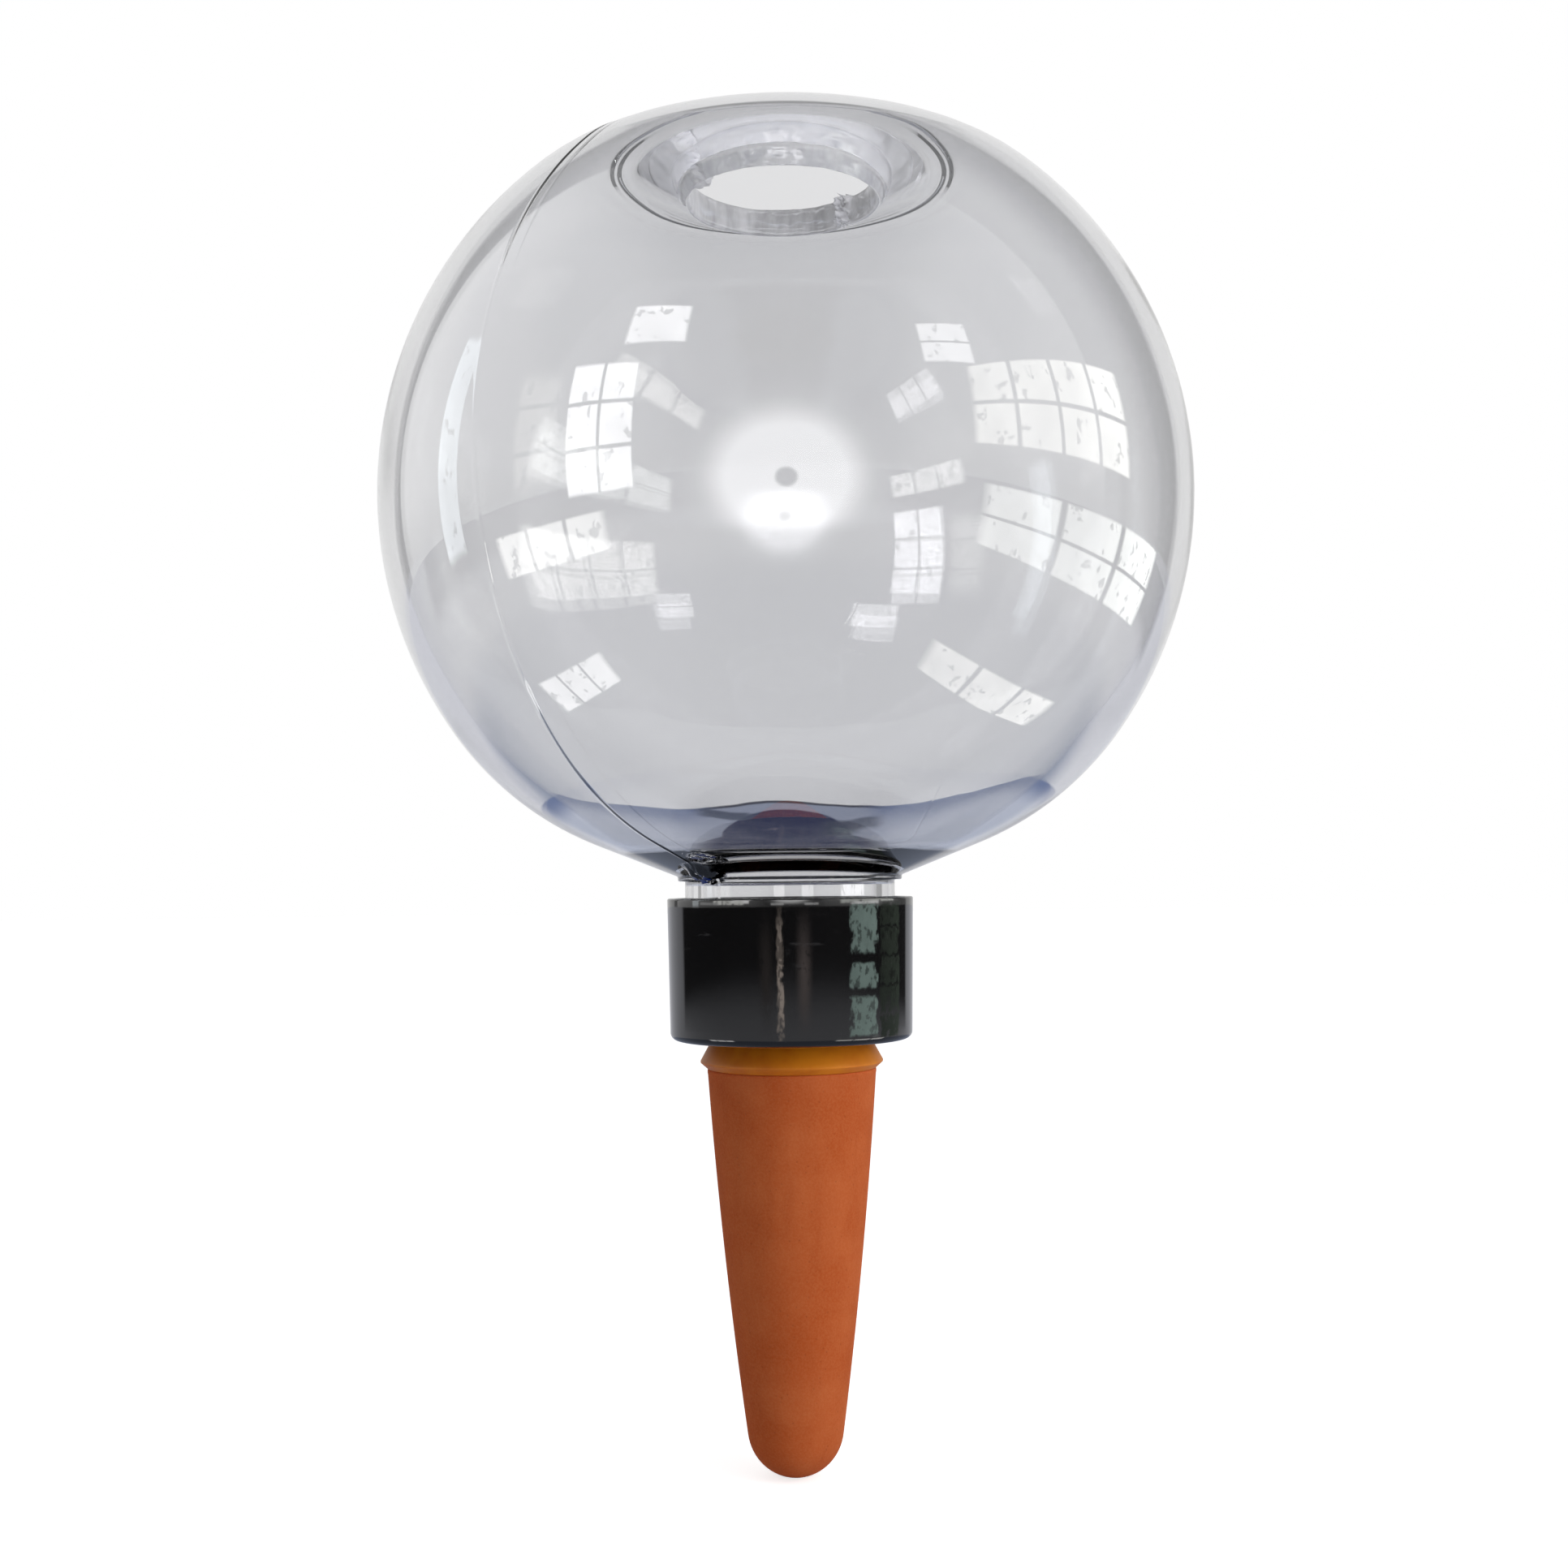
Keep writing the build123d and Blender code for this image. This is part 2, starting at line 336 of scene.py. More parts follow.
def clay_finish():
    finish, tree, shader, place = new_finish("fired red clay")
    mottle = noise(tree, place, 110.0, 4.0, 0.55)
    wipes = noise(tree, place, 420.0, 3.0, 0.6, (1.0, 1.0, 0.14))
    grain = noise(tree, place, 3400.0, 2.0, 0.7)
    grit = Wire.node(tree, "ShaderNodeTexVoronoi", {}, {"Vector": place, "Scale": 900.0})
    body = blend(tree, mottle.ease(0.3, 0.72), (0.44, 0.082, 0.018, 1), (0.52, 0.122, 0.036, 1))
    body = blend(tree, wipes.ease(0.45, 0.8) * 0.35, body, (0.38, 0.072, 0.017, 1))
    body = blend(tree, grain.ease(0.3, 0.75) * 0.2, body, (0.62, 0.22, 0.09, 1))
    specks = grit.ease(0.16, 0.06)
    body = blend(tree, specks * 0.3, body, (0.25, 0.055, 0.018, 1))
    # Painted shade: the head and the hollow, which ends above the tip, are darkened nearly to black, as
    # shade inside the neck and in the hollow
    x, y, z = split(tree, place)
    core = z * CORE_SLOPE + CORE_AT_SHOULDER
    hollow = (core - length(x, y)).ease(0.0, 0.2 * mm) * z.ease(-48.0 * mm, -47.5 * mm)
    painted_shade = (hollow + z.ease(5.0 * mm, HEAD_BOTTOM)).ease(0.0, 1.0)
    body = blend(tree, painted_shade * 0.9, body, (0.03, 0.012, 0.008, 1))
    body.feed(shader, "Base Color")
    mottle.between(0.82, 0.96).feed(shader, "Roughness")
    emboss(tree, shader, grain * 0.6 + wipes * 0.5 - specks * 0.5, 0.5, 0.05 * mm)
    shader.inputs["Specular IOR Level"].default_value = 0.12
    return finish


tip_centre = SPIKE_TIP_RADIUS - SPIKE_LENGTH
lean = radians(SPIKE_TIP_ANGLE)
flank_start = (SPIKE_TIP_RADIUS * cos(lean), tip_centre - SPIKE_TIP_RADIUS * sin(lean))
# The flank is one long arc that leaves the round tip without a break and ends at the shoulder
chord = Vector((SPIKE_SHOULDER_RADIUS - flank_start[0], -flank_start[1]))
flank_radius = chord.length / (2 * abs(sin(atan2(chord.x, chord.y) - lean)))
flank_centre = (flank_start[0] - flank_radius * cos(lean), flank_start[1] + flank_radius * sin(lean))
first_angle = degrees(atan2(flank_start[1] - flank_centre[1], flank_start[0] - flank_centre[0]))
last_angle = degrees(atan2(-flank_centre[1], SPIKE_SHOULDER_RADIUS - flank_centre[0]))
core_centre = (0.0, -SPIKE_LENGTH + SPIKE_TIP_WALL + SPIKE_CORE_TIP)

spike = outlined(
    "spike_clay",
    joined(
        arc((0.0, tip_centre), SPIKE_TIP_RADIUS, -90.0, -SPIKE_TIP_ANGLE, 0.5 * mm),
        arc(flank_centre, flank_radius, first_angle, last_angle, 0.8 * mm)[:-1],
        spaced(
            rounded(
                [
                    (SPIKE_SHOULDER_RADIUS, -0.5 * mm),
                    (SPIKE_SHOULDER_RADIUS, 0.0, 0.25 * mm),
                    (SPIGOT_RADIUS, 0.0, 0.2 * mm),
                    (SPIGOT_RADIUS, HEAD_BOTTOM, 0.15 * mm),
                    (HEAD_RADIUS, HEAD_BOTTOM, CLAY_EDGE),
                    (HEAD_RADIUS, HEAD_TOP, CLAY_EDGE),
                    (SPIKE_CORE_MOUTH, HEAD_TOP, CLAY_EDGE),
                    (SPIKE_CORE_TIP, core_centre[1]),
                ]
            ),
            1.5 * mm,
        ),
        arc(core_centre, SPIKE_CORE_TIP, 0.0, -90.0, 0.5 * mm),
    ),
)
clay = clay_finish()
turning = turning_rule()
follow(spike, turning, {"Facets": 128, "Finish": clay})
made_plain(spike)
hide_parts("spike")
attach(spike, "spike")

# ------------------------------------------------------------------------------------------------------
# Gasket: one piece of soft amber rubber. Its sleeve is stretched over the spike's head onto the spigot,
# and its thin-lipped skirt flares out under the collar over the shoulder of the clay.

GASKET_BORE = 8.5 * mm
GASKET_SLEEVE = 9.95 * mm
GASKET_LIP_RADIUS = 11.35 * mm
GASKET_LIP_LOW = 0.75 * mm
GASKET_LIP_HIGH = 0.95 * mm
GASKET_FLARE_TOP = 3.5 * mm
GASKET_TOP = 5.6 * mm
# Where the outline starts in the bore, and how far past that it ends
GASKET_SEAM = 2.0 * mm
SEAM_STEP = 0.01 * mm


def rubber_finish(name, dark, light, low, high):
    """Clouded from dark to light, and from a low to a high roughness."""
    finish, tree, shader, place = new_finish(name)
    cloud = noise(tree, place, 260.0, 3.0)
    skin = noise(tree, place, 5200.0, 2.0, 0.6)
    blend(tree, cloud.ease(0.3, 0.7), dark, light).feed(shader, "Base Color")
    cloud.between(low, high).feed(shader, "Roughness")
    emboss(tree, shader, skin + cloud * 1.5, 0.35, 0.02 * mm)
    shader.inputs["Specular IOR Level"].default_value = 0.3
    return finish


gasket = outlined(
    "gasket_rubber",
    spaced(
        rounded(
            [
                (GASKET_BORE, GASKET_SEAM),
                (GASKET_BORE, 0.0, 0.2 * mm),
                (SPIKE_SHOULDER_RADIUS, 0.0, 0.12 * mm),
                (GASKET_LIP_RADIUS, GASKET_LIP_LOW, 0.05 * mm),
                (GASKET_LIP_RADIUS, GASKET_LIP_HIGH, 0.12 * mm),
                (GASKET_SLEEVE, GASKET_FLARE_TOP, 0.4 * mm),
                (GASKET_SLEEVE, GASKET_TOP, 0.2 * mm),
                (GASKET_BORE, GASKET_TOP, 0.2 * mm),
                (GASKET_BORE, GASKET_SEAM + SEAM_STEP),
            ],
            0.05 * mm,
        ),
        0.4 * mm,
    ),
)
amber_dark, amber_light = (0.49, 0.125, 0.003, 1), (0.60, 0.185, 0.005, 1)
amber = rubber_finish("amber rubber", amber_dark, amber_light, 0.4, 0.55)
follow(gasket, turning, {"Facets": 144, "Finish": amber})
made_plain(gasket)
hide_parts("gasket")
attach(gasket, "spike")

# ------------------------------------------------------------------------------------------------------
# Collar: a screw cap moulded in black plastic, turned mouth up, with a hole in its panel for the
# spigot. Its wall draws in a little towards the panel, and a bottle thread winds round its bore.

COLLAR_BOTTOM = 3.6 * mm
COLLAR_PANEL_TOP = 5.6 * mm
COLLAR_TOP = 21.1 * mm
COLLAR_HOLE = 10.15 * mm
COLLAR_BORE = 13.95 * mm
COLLAR_OUTER = 15.35 * mm
COLLAR_SEAM = 4.6 * mm
COLLAR_DRAFT = 1.0
COLLAR_FOOT = COLLAR_OUTER - (COLLAR_TOP - COLLAR_BOTTOM) * tan(radians(COLLAR_DRAFT))
COLLAR_BEVEL = 0.6 * mm
# The part of the bore that has points enough for the thread
THREADED_TOP = COLLAR_TOP - 0.7 * mm
THREADED_LOW = COLLAR_PANEL_TOP + 0.7 * mm
THREAD_PITCH = 4.23 * mm
THREAD_DEPTH = 0.65 * mm
THREAD_CREST = 0.8 * mm
THREAD_ROOT = 2.0 * mm
THREAD_LOW = 9.4 * mm
THREAD_RUN_OUT = 0.09  # of a turn


def thread_rule():
    """Raises a screw thread's ridge on the wall that has the given radius, by a negative depth towards
    the axis. Its middle starts at the given height and winds up for the given turns."""
    sizes = ["Wall radius", "Depth", "Pitch", "Start", "Turns", "Crest", "Root"]
    tree, given = new_tree("screw thread", {name: "Float" for name in sizes})
    x, y, z = split(tree, Wire.node(tree, "GeometryNodeInputPosition"))
    radius = length(x, y)
    turn = x.math("ARCTAN2", y, x) / (2 * pi)
    wound = ((z - given["Start"]) / given["Pitch"] - turn).round() + turn
    off = (z - given["Start"] - wound * given["Pitch"]).abs()
    flank = ((given["Root"] / 2 - off) / ((given["Root"] - given["Crest"]) / 2)).ease(0.0, 1.0)
    ends = wound.ease(0.0, THREAD_RUN_OUT) * (given["Turns"] - wound).ease(0.0, THREAD_RUN_OUT)
    on_wall = (radius - given["Wall radius"]).abs().ease(0.02 * mm, 0.01 * mm)
    push = flank * ends * on_wall * given["Depth"] / radius
    move_and_close(tree, combine(tree, x * push, y * push, 0.0), given)
    return tree


def black_plastic_finish():
    finish, tree, shader, place = new_finish("glossy black plastic")
    flow = noise(tree, place, 55.0, 2.0, 0.45, (1.0, 1.0, 0.55))
    rubs = noise(tree, place, 900.0, 4.0, 0.65, (0.25, 0.25, 1.0))
    hairs = rubs.ease(0.62, 0.7)
    body = blend(tree, flow, (0.0018, 0.0017, 0.002, 1), (0.0042, 0.004, 0.0042, 1))
    body.feed(shader, "Base Color")
    (flow * 0.03 + hairs * 0.12 + 0.05).feed(shader, "Roughness")
    emboss(tree, shader, flow + rubs * 0.012, 0.35, 0.22 * mm)
    shader.inputs["IOR"].default_value = 1.5
    return finish


collar = outlined(
    "collar_plastic",
    joined(
        spaced(
            rounded(
                [
                    (COLLAR_HOLE, COLLAR_SEAM),
                    (COLLAR_HOLE, COLLAR_BOTTOM, 0.25 * mm),
                    (COLLAR_FOOT, COLLAR_BOTTOM, 0.9 * mm),
                    (COLLAR_OUTER, COLLAR_TOP, 0.25 * mm),
                    (COLLAR_BORE + COLLAR_BEVEL, COLLAR_TOP, 0.15 * mm),
                    (COLLAR_BORE, COLLAR_TOP - COLLAR_BEVEL, 0.15 * mm),
                    (COLLAR_BORE, THREADED_TOP),
                ],
                0.07 * mm,
            ),
            1.0 * mm,
        ),
        spaced([(COLLAR_BORE, THREADED_TOP), (COLLAR_BORE, THREADED_LOW)], 0.22 * mm),
        spaced(
            rounded(
                [
                    (COLLAR_BORE, THREADED_LOW),
                    (COLLAR_BORE, COLLAR_PANEL_TOP, 0.5 * mm),
                    (COLLAR_HOLE, COLLAR_PANEL_TOP, 0.2 * mm),
                    (COLLAR_HOLE, COLLAR_SEAM + SEAM_STEP),
                ]
            ),
            1.0 * mm,
        ),
    ),
)
black = black_plastic_finish()
thread = thread_rule()
follow(collar, turning, {"Facets": 200, "Finish": black})
follow(
    collar,
    thread,
    {
        "Wall radius": COLLAR_BORE,
        "Depth": -THREAD_DEPTH,
        "Pitch": THREAD_PITCH,
        "Start": THREAD_LOW + THREAD_PITCH / 2,
        "Turns": 1.75,
        "Crest": THREAD_CREST,
        "Root": THREAD_ROOT,
        "Finish": black,
    },
)
made_plain(collar)
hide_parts("collar")
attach(collar, "collar")

# ------------------------------------------------------------------------------------------------------
# Washer: a flat ring of black rubber, stretched over the spike's head onto the collar's panel. The rim
# of the neck is screwed down on it, which makes the joint tight.

WASHER_BORE = 8.55 * mm
WASHER_RADIUS = 13.55 * mm
WASHER_TOP = 7.4 * mm
WASHER_SEAM = 6.5 * mm

washer = outlined(
    "washer_rubber",
    spaced(
        rounded(
            [
                (WASHER_BORE, WASHER_SEAM),
                (WASHER_BORE, COLLAR_PANEL_TOP, 0.15 * mm),
                (WASHER_RADIUS, COLLAR_PANEL_TOP, 0.2 * mm),
                (WASHER_RADIUS, WASHER_TOP, 0.2 * mm),
                (WASHER_BORE, WASHER_TOP, 0.15 * mm),
                (WASHER_BORE, WASHER_SEAM + SEAM_STEP),
            ],
            0.06 * mm,
        ),
        0.9 * mm,
    ),
)
rubber_dark, rubber_light = (0.014, 0.014, 0.014, 1), (0.024, 0.023, 0.023, 1)
washer_black = rubber_finish("black rubber", rubber_dark, rubber_light, 0.6, 0.75)
follow(washer, turning, {"Facets": 120, "Finish": washer_black})
made_plain(washer)
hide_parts("washer")
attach(washer, "spike")

# ------------------------------------------------------------------------------------------------------
# Globe: a clear bottle blown in one piece, stood on its threaded neck. The mould's halves left a
# parting line with a crumpled pinch of plastic at the bead, and the filler hole is cut roughly in the
# base.

NECK_BORE = 10.85 * mm
NECK_RADIUS = 13.1 * mm
NECK_RIM = 7.4 * mm
BEAD_RADIUS = 14.0 * mm
BEAD_BOTTOM = 23.2 * mm
BEAD_TOP = 23.8 * mm
GLOBE_RADIUS = 50.5 * mm
GLOBE_CENTRE = 70.6 * mm
GLOBE_WALL = 1.9 * mm
WALL_BIAS = 3.75 * mm
SHOULDER_ANGLE = 21.8
SHOULDER_CONE_END = 0.473 * GLOBE_RADIUS
MOUTH_ROUND = 1.6 * mm
BASE_TOP = 113.7 * mm
BASE_FLAT = 7.4 * mm
BASE_CORNER = 21.2 * mm
PANEL_LEVEL = 113.35 * mm
BASE_INSIDE = 109.2 * mm
BASE_CEILING = 112.3 * mm
BASE_BIAS = -1.0 * mm
BASE_INNER_ROUND = 19.6 * mm
GATE_ROUND = 4.0 * mm
FOOT_RING_RADIUS = 21.35 * mm
FOOT_RING_WIDTH = 1.5 * mm
FOOT_RING_RISE = 0.4 * mm
FILLER_RADIUS = 11.9 * mm
FILLER_EDGE = 0.45 * mm
PARTING_ANGLE = radians(-131.0)
THREAD_TOP = 18.0 * mm
CONE_LOW = 0.8 * mm
# The heights between which what belongs to the base sets in
INTO_BASE = (100 * mm, 105 * mm)


def shoulder_run():
    """The bead, the cone on from it, and the arc that runs into the ball, up to the base's corner."""
    slope = radians(SHOULDER_ANGLE)
    cone_start = (BEAD_RADIUS + CONE_LOW, BEAD_TOP + CONE_LOW * tan(slope))
    cone_height = BEAD_TOP + (SHOULDER_CONE_END - BEAD_RADIUS) * tan(slope)
    drop = GLOBE_CENTRE - cone_height
    reach = SHOULDER_CONE_END * sin(slope) + drop * cos(slope)
    radius = (GLOBE_RADIUS**2 - SHOULDER_CONE_END**2 - drop**2) / (2 * (GLOBE_RADIUS - reach))
    centre = (SHOULDER_CONE_END - radius * sin(slope), cone_height + radius * cos(slope))
    meets = degrees(atan2(centre[1] - GLOBE_CENTRE, centre[0]))
    corner_reach = GLOBE_RADIUS - BASE_CORNER
    corner_angle = degrees(asin((corner_reach - BASE_FLAT) / corner_reach))
    return (
        rounded(
            [
                (NECK_RADIUS, BEAD_BOTTOM - 0.6 * mm),
                (NECK_RADIUS, BEAD_BOTTOM, 0.15 * mm),
                (BEAD_RADIUS, BEAD_BOTTOM, 0.24 * mm),
                (BEAD_RADIUS, BEAD_TOP, 0.24 * mm),
                cone_start,
            ],
            0.07 * mm,
        ),
        spaced([cone_start, (SHOULDER_CONE_END, cone_height)], 0.42 * mm),
        arc(centre, radius, degrees(slope) - 90.0, meets, 1.3 * mm),
        arc((0.0, GLOBE_CENTRE), GLOBE_RADIUS, meets, corner_angle, 1.9 * mm),
    )


def base_run():
    """From the ball over the base's rounded corner, the foot ring and the panel to the filler hole."""
    reach = GLOBE_RADIUS - BASE_CORNER
    rise = reach - BASE_FLAT
    flat = sqrt(reach**2 - rise**2)
    ring_outer = FOOT_RING_RADIUS + FOOT_RING_WIDTH / 2
    ring_drop = BASE_CORNER - sqrt(BASE_CORNER**2 - (ring_outer - flat) ** 2)
    centre = (flat, BASE_TOP - BASE_CORNER)
    start = degrees(asin(rise / reach))
    end = degrees(acos((ring_outer - flat) / BASE_CORNER))
    low = BASE_TOP - ring_drop
    crest = low + FOOT_RING_RISE
    panel_end = (FILLER_RADIUS + 2.5 * mm, PANEL_LEVEL)
    hole_edge = (FILLER_RADIUS + 1.0 * mm, PANEL_LEVEL)
    return (
        arc(centre, BASE_CORNER, start, end, 1.5 * mm)[:-1],
        rounded(
            [
                (ring_outer + 0.5 * mm, low - 0.18 * mm),
                (ring_outer, low, 0.25 * mm),
                (FOOT_RING_RADIUS + 0.22 * mm, crest, 0.4 * mm),
                (FOOT_RING_RADIUS - 0.25 * mm, crest, 0.3 * mm),
                (FOOT_RING_RADIUS - FOOT_RING_WIDTH / 2, PANEL_LEVEL, 0.3 * mm),
                panel_end,
            ],
            0.12 * mm,
        ),
        spaced([panel_end, hole_edge], 0.4 * mm),
        spaced(
            rounded(
                [
                    hole_edge,
                    (FILLER_RADIUS, PANEL_LEVEL, FILLER_EDGE),
                    (FILLER_RADIUS, PANEL_LEVEL - 1.0 * mm),
                ],
                0.15 * mm,
            ),
            0.35 * mm,
        ),
    )


def inner_run():
    """From the filler hole along the inside: the base, thick in the middle where the plastic was fed
    in, its rounded corner, the wall's two arcs, the round into the neck, the bore and the rim."""
    upper = GLOBE_RADIUS - GLOBE_WALL - BASE_BIAS
    lower = GLOBE_RADIUS - GLOBE_WALL - WALL_BIAS
    corner_drop = BASE_CEILING - BASE_INNER_ROUND - GLOBE_CENTRE
    corner_x = BASE_BIAS + sqrt((upper - BASE_INNER_ROUND) ** 2 - corner_drop**2)
    corner_angle = degrees(atan2(corner_drop, corner_x - BASE_BIAS))
    mouth_x = NECK_BORE + MOUTH_ROUND
    mouth_height = GLOBE_CENTRE - sqrt((lower + MOUTH_ROUND) ** 2 - (mouth_x - WALL_BIAS) ** 2)
    mouth_angle = degrees(atan2(mouth_height - GLOBE_CENTRE, mouth_x - WALL_BIAS))
    corner = (corner_x, BASE_CEILING - BASE_INNER_ROUND)
    return (
        spaced(
            rounded(
                [
                    (FILLER_RADIUS, PANEL_LEVEL - 1.0 * mm),
                    (FILLER_RADIUS, BASE_INSIDE, FILLER_EDGE),
                    (corner_x, BASE_CEILING, GATE_ROUND),
                    (corner_x + 0.95 * mm, BASE_CEILING - 0.02 * mm),
                ],
                0.15 * mm,
            ),
            0.35 * mm,
        ),
        arc(corner, BASE_INNER_ROUND, 87.0, corner_angle, 0.9 * mm),
        arc((BASE_BIAS, GLOBE_CENTRE), upper, corner_angle, 0.0, 1.9 * mm),
        arc((WALL_BIAS, GLOBE_CENTRE), lower, 0.0, mouth_angle, 1.9 * mm),
        arc((mouth_x, mouth_height), MOUTH_ROUND, mouth_angle + 180.0, 180.0, 0.2 * mm),
        spaced([(NECK_BORE, mouth_height), (NECK_BORE, NECK_RIM + 0.5 * mm)], 2.0 * mm),
        rounded(
            [
                (NECK_BORE, NECK_RIM + 0.5 * mm),
                (NECK_BORE, NECK_RIM, 0.3 * mm),
                (NECK_RADIUS, NECK_RIM, 0.3 * mm),
                (NECK_RADIUS, NECK_RIM + 0.5 * mm),
            ],
            0.12 * mm,
        ),
        spaced([(NECK_RADIUS, NECK_RIM + 0.5 * mm), (NECK_RADIUS, THREAD_TOP)], 0.3 * mm),
        spaced([(NECK_RADIUS, THREAD_TOP), (NECK_RADIUS, BEAD_BOTTOM - 0.6 * mm)], 1.0 * mm)[:-1],
    )


globe = outlined("globe_clear", joined(*shoulder_run(), *base_run(), *inner_run()))


def blowing_rule():
    """What blowing leaves on the ball: an uneven inside, the parting line's fine ridge on both sides of
    the outside, and the crumpled pinch of plastic where that line meets the bead."""
    sizes = ["Centre", "Unevenness", "Parting angle", "Ridge height", "Ridge width", "Pinch radius"]
    sizes += ["Pinch height", "Pinch size", "Pinch crumple"]
    tree, given = new_tree("blown in a mould", {name: "Float" for name in sizes})
    place = Wire.node(tree, "GeometryNodeInputPosition")
    facing = Wire.node(tree, "GeometryNodeInputNormal")
    x, y, z = split(tree, place)
    facing_x, facing_y, facing_z = split(tree, facing)
    outward = facing_x * x + facing_y * y + facing_z * (z - given["Centre"])
    outside = outward.ease(-2e-4, 2e-4)
    swell = noise(tree, place, 42.0, 1.0, 0.4) - 0.5
    in_ball = z.ease(BEAD_TOP + 4 * mm, BEAD_TOP + 14 * mm)
    in_ball = in_ball * z.ease(BASE_INSIDE - 1 * mm, BASE_INSIDE - 6 * mm)
    # The ridge runs from above the thread to the base, faint round the middle and on the far half
    along, across = given["Parting angle"].cos(), given["Parting angle"].sin()
    off = (y * along - x * across).abs()
    strong = z.ease(62 * mm, 40 * mm) + z.ease(82 * mm, 104 * mm) + 0.25
    strong = z.ease(THREAD_TOP + 0.5 * mm, THREAD_TOP + 1.5 * mm) * strong * z.ease(112 * mm, 109 * mm)
    strong = strong * (x * along + y * across).ease(-1 * mm, 1 * mm).between(0.2, 1.0)
    ridge = (1 - off / given["Ridge width"]).ease(0.0, 1.0) * given["Ridge height"] * strong
    push = outside * ridge + (1 - outside) * in_ball * swell * given["Unevenness"]
    offset = vectors(tree, "SCALE", facing, push)
    pinch_x, pinch_y = given["Pinch radius"] * along, given["Pinch radius"] * across
    pinch = combine(tree, pinch_x, pinch_y, given["Pinch height"])
    far = vectors(tree, "DISTANCE", place, pinch, outlet=1)
    near = (1 - far / given["Pinch size"]).ease(0.0, 0.7) * outside * given["Pinch crumple"]
    folds = noise(tree, place, 950.0, 2.0, 0.6).outlet("Color")
    folds = vectors(tree, "SCALE", vectors(tree, "SUBTRACT", folds, (0.42, 0.42, 0.5)), near)
    lumps = noise(tree, place, 620.0, 1.0, 0.5) * near * 1.3
    lumps = vectors(tree, "SCALE", facing, lumps)
    for part in (folds, lumps):
        offset = vectors(tree, "ADD", offset, part)
    move_and_close(tree, offset, given)
    return tree


def cutting_rule():
    """Roughens the edge of the filler hole, and leaves a curled burr at each of two places on it."""
    sizes = ["Hole radius", "Raggedness", "Burr height", "Burr width", "First burr", "Second burr"]
    tree, given = new_tree("cut by hand", {name: "Float" for name in sizes})
    place = Wire.node(tree, "GeometryNodeInputPosition")
    x, y, z = split(tree, place)
    radius = length(x, y)
    angle = x.math("ARCTAN2", y, x)
    cut = (radius - given["Hole radius"]).ease(0.95 * mm, 0.3 * mm) * z.ease(*INTO_BASE)
    ragged = (noise(tree, place, 900.0, 3.0, 0.6) - 0.5) * given["Raggedness"]
    wander = (noise(tree, place, 170.0, 1.0, 0.5) - 0.5) * given["Raggedness"] * 2.0
    crumple = noise(tree, place, 1500.0, 2.0, 0.6)
    burrs = 0.0
    for name in ("First burr", "Second burr"):
        off = ((angle - given[name]).sin() * radius / given["Burr width"]).abs()
        same_side = (angle - given[name]).cos().ease(0.0, 0.1)
        burrs = (1 - off).ease(0.0, 1.0) * same_side + burrs
    reach = burrs * given["Burr height"] * crumple.ease(0.3, 0.7).between(-0.2, 1.7)
    push = cut * (ragged + wander - reach) / radius
    lift = cut * reach * (noise(tree, place, 700.0, 1.0, 0.5) - 0.42) * 1.6
    move_and_close(tree, combine(tree, x * push, y * push, lift), given)
    return tree


def mix_shaders(tree, amount, first, second):
    """Two shaders mixed."""
    return Wire.node(tree, "ShaderNodeMixShader", {}, {0: amount, 1: first, 2: second})


def clear_finish():
    finish, tree, shader, place = new_finish("clear plastic")
    x, y, z = split(tree, place)
    # The cut face of the filler hole is torn and whitish, and the rest is glossy
    cut = length(x, y).ease(FILLER_RADIUS + 0.5 * mm, FILLER_RADIUS + 0.2 * mm) * z.ease(*INTO_BASE)
    tear = noise(tree, place, 800.0, 2.0, 0.5, (1.0, 1.0, 0.3))
    waves = noise(tree, place, 38.0, 2.0, 0.4)
    emboss(tree, shader, waves + tear * cut * 0.2, 0.3, 0.2 * mm)
    (cut * tear.between(0.0, 0.15)).feed(shader, "Roughness")
    shader.inputs["Base Color"].default_value = (0.775, 0.776, 0.787, 1)
    shader.inputs["IOR"].default_value = 1.54
    shader.inputs["Transmission Weight"].default_value = 1.0
    torn = Wire.node(tree, "ShaderNodeBsdfDiffuse", {}, {"Color": (0.95, 0.95, 0.97, 1)})
    whitish = cut * tear.ease(0.2, 0.8).between(0.45, 0.75)
    frosted = mix_shaders(tree, whitish, Wire(shader.outputs[0]), torn)
    # Lamps reach what is behind the plastic, so the clay and the floor are lit through it
    passing = Wire.node(tree, "ShaderNodeBsdfTransparent", {}, {"Color": (0.93, 0.93, 0.95, 1)})
    lamp_ray = Wire.node(tree, "ShaderNodeLightPath").outlet("Is Shadow Ray")
    mixed = mix_shaders(tree, lamp_ray, frosted, passing)
    mixed.feed(tree.nodes["Material Output"], "Surface")
    return finish


clear = clear_finish()
follow(globe, turning, {"Facets": 256, "Gather": 0.4, "Gather angle": PARTING_ANGLE, "Finish": clear})
follow(
    globe,
    thread,
    {
        "Wall radius": NECK_RADIUS,
        "Depth": THREAD_DEPTH,
        "Pitch": THREAD_PITCH,
        "Start": THREAD_LOW,
        "Turns": 1.5,
        "Crest": THREAD_CREST,
        "Root": THREAD_ROOT,
        "Finish": clear,
    },
)
follow(
    globe,
    blowing_rule(),
    {
        "Centre": GLOBE_CENTRE,
        "Unevenness": 0.25 * mm,
        "Parting angle": PARTING_ANGLE,
        "Ridge height": 0.09 * mm,
        "Ridge width": 0.34 * mm,
        "Pinch radius": 15.4 * mm,
        "Pinch height": 24.6 * mm,
        "Pinch size": 2.9 * mm,
        "Pinch crumple": 1.5 * mm,
        "Finish": clear,
    },
)
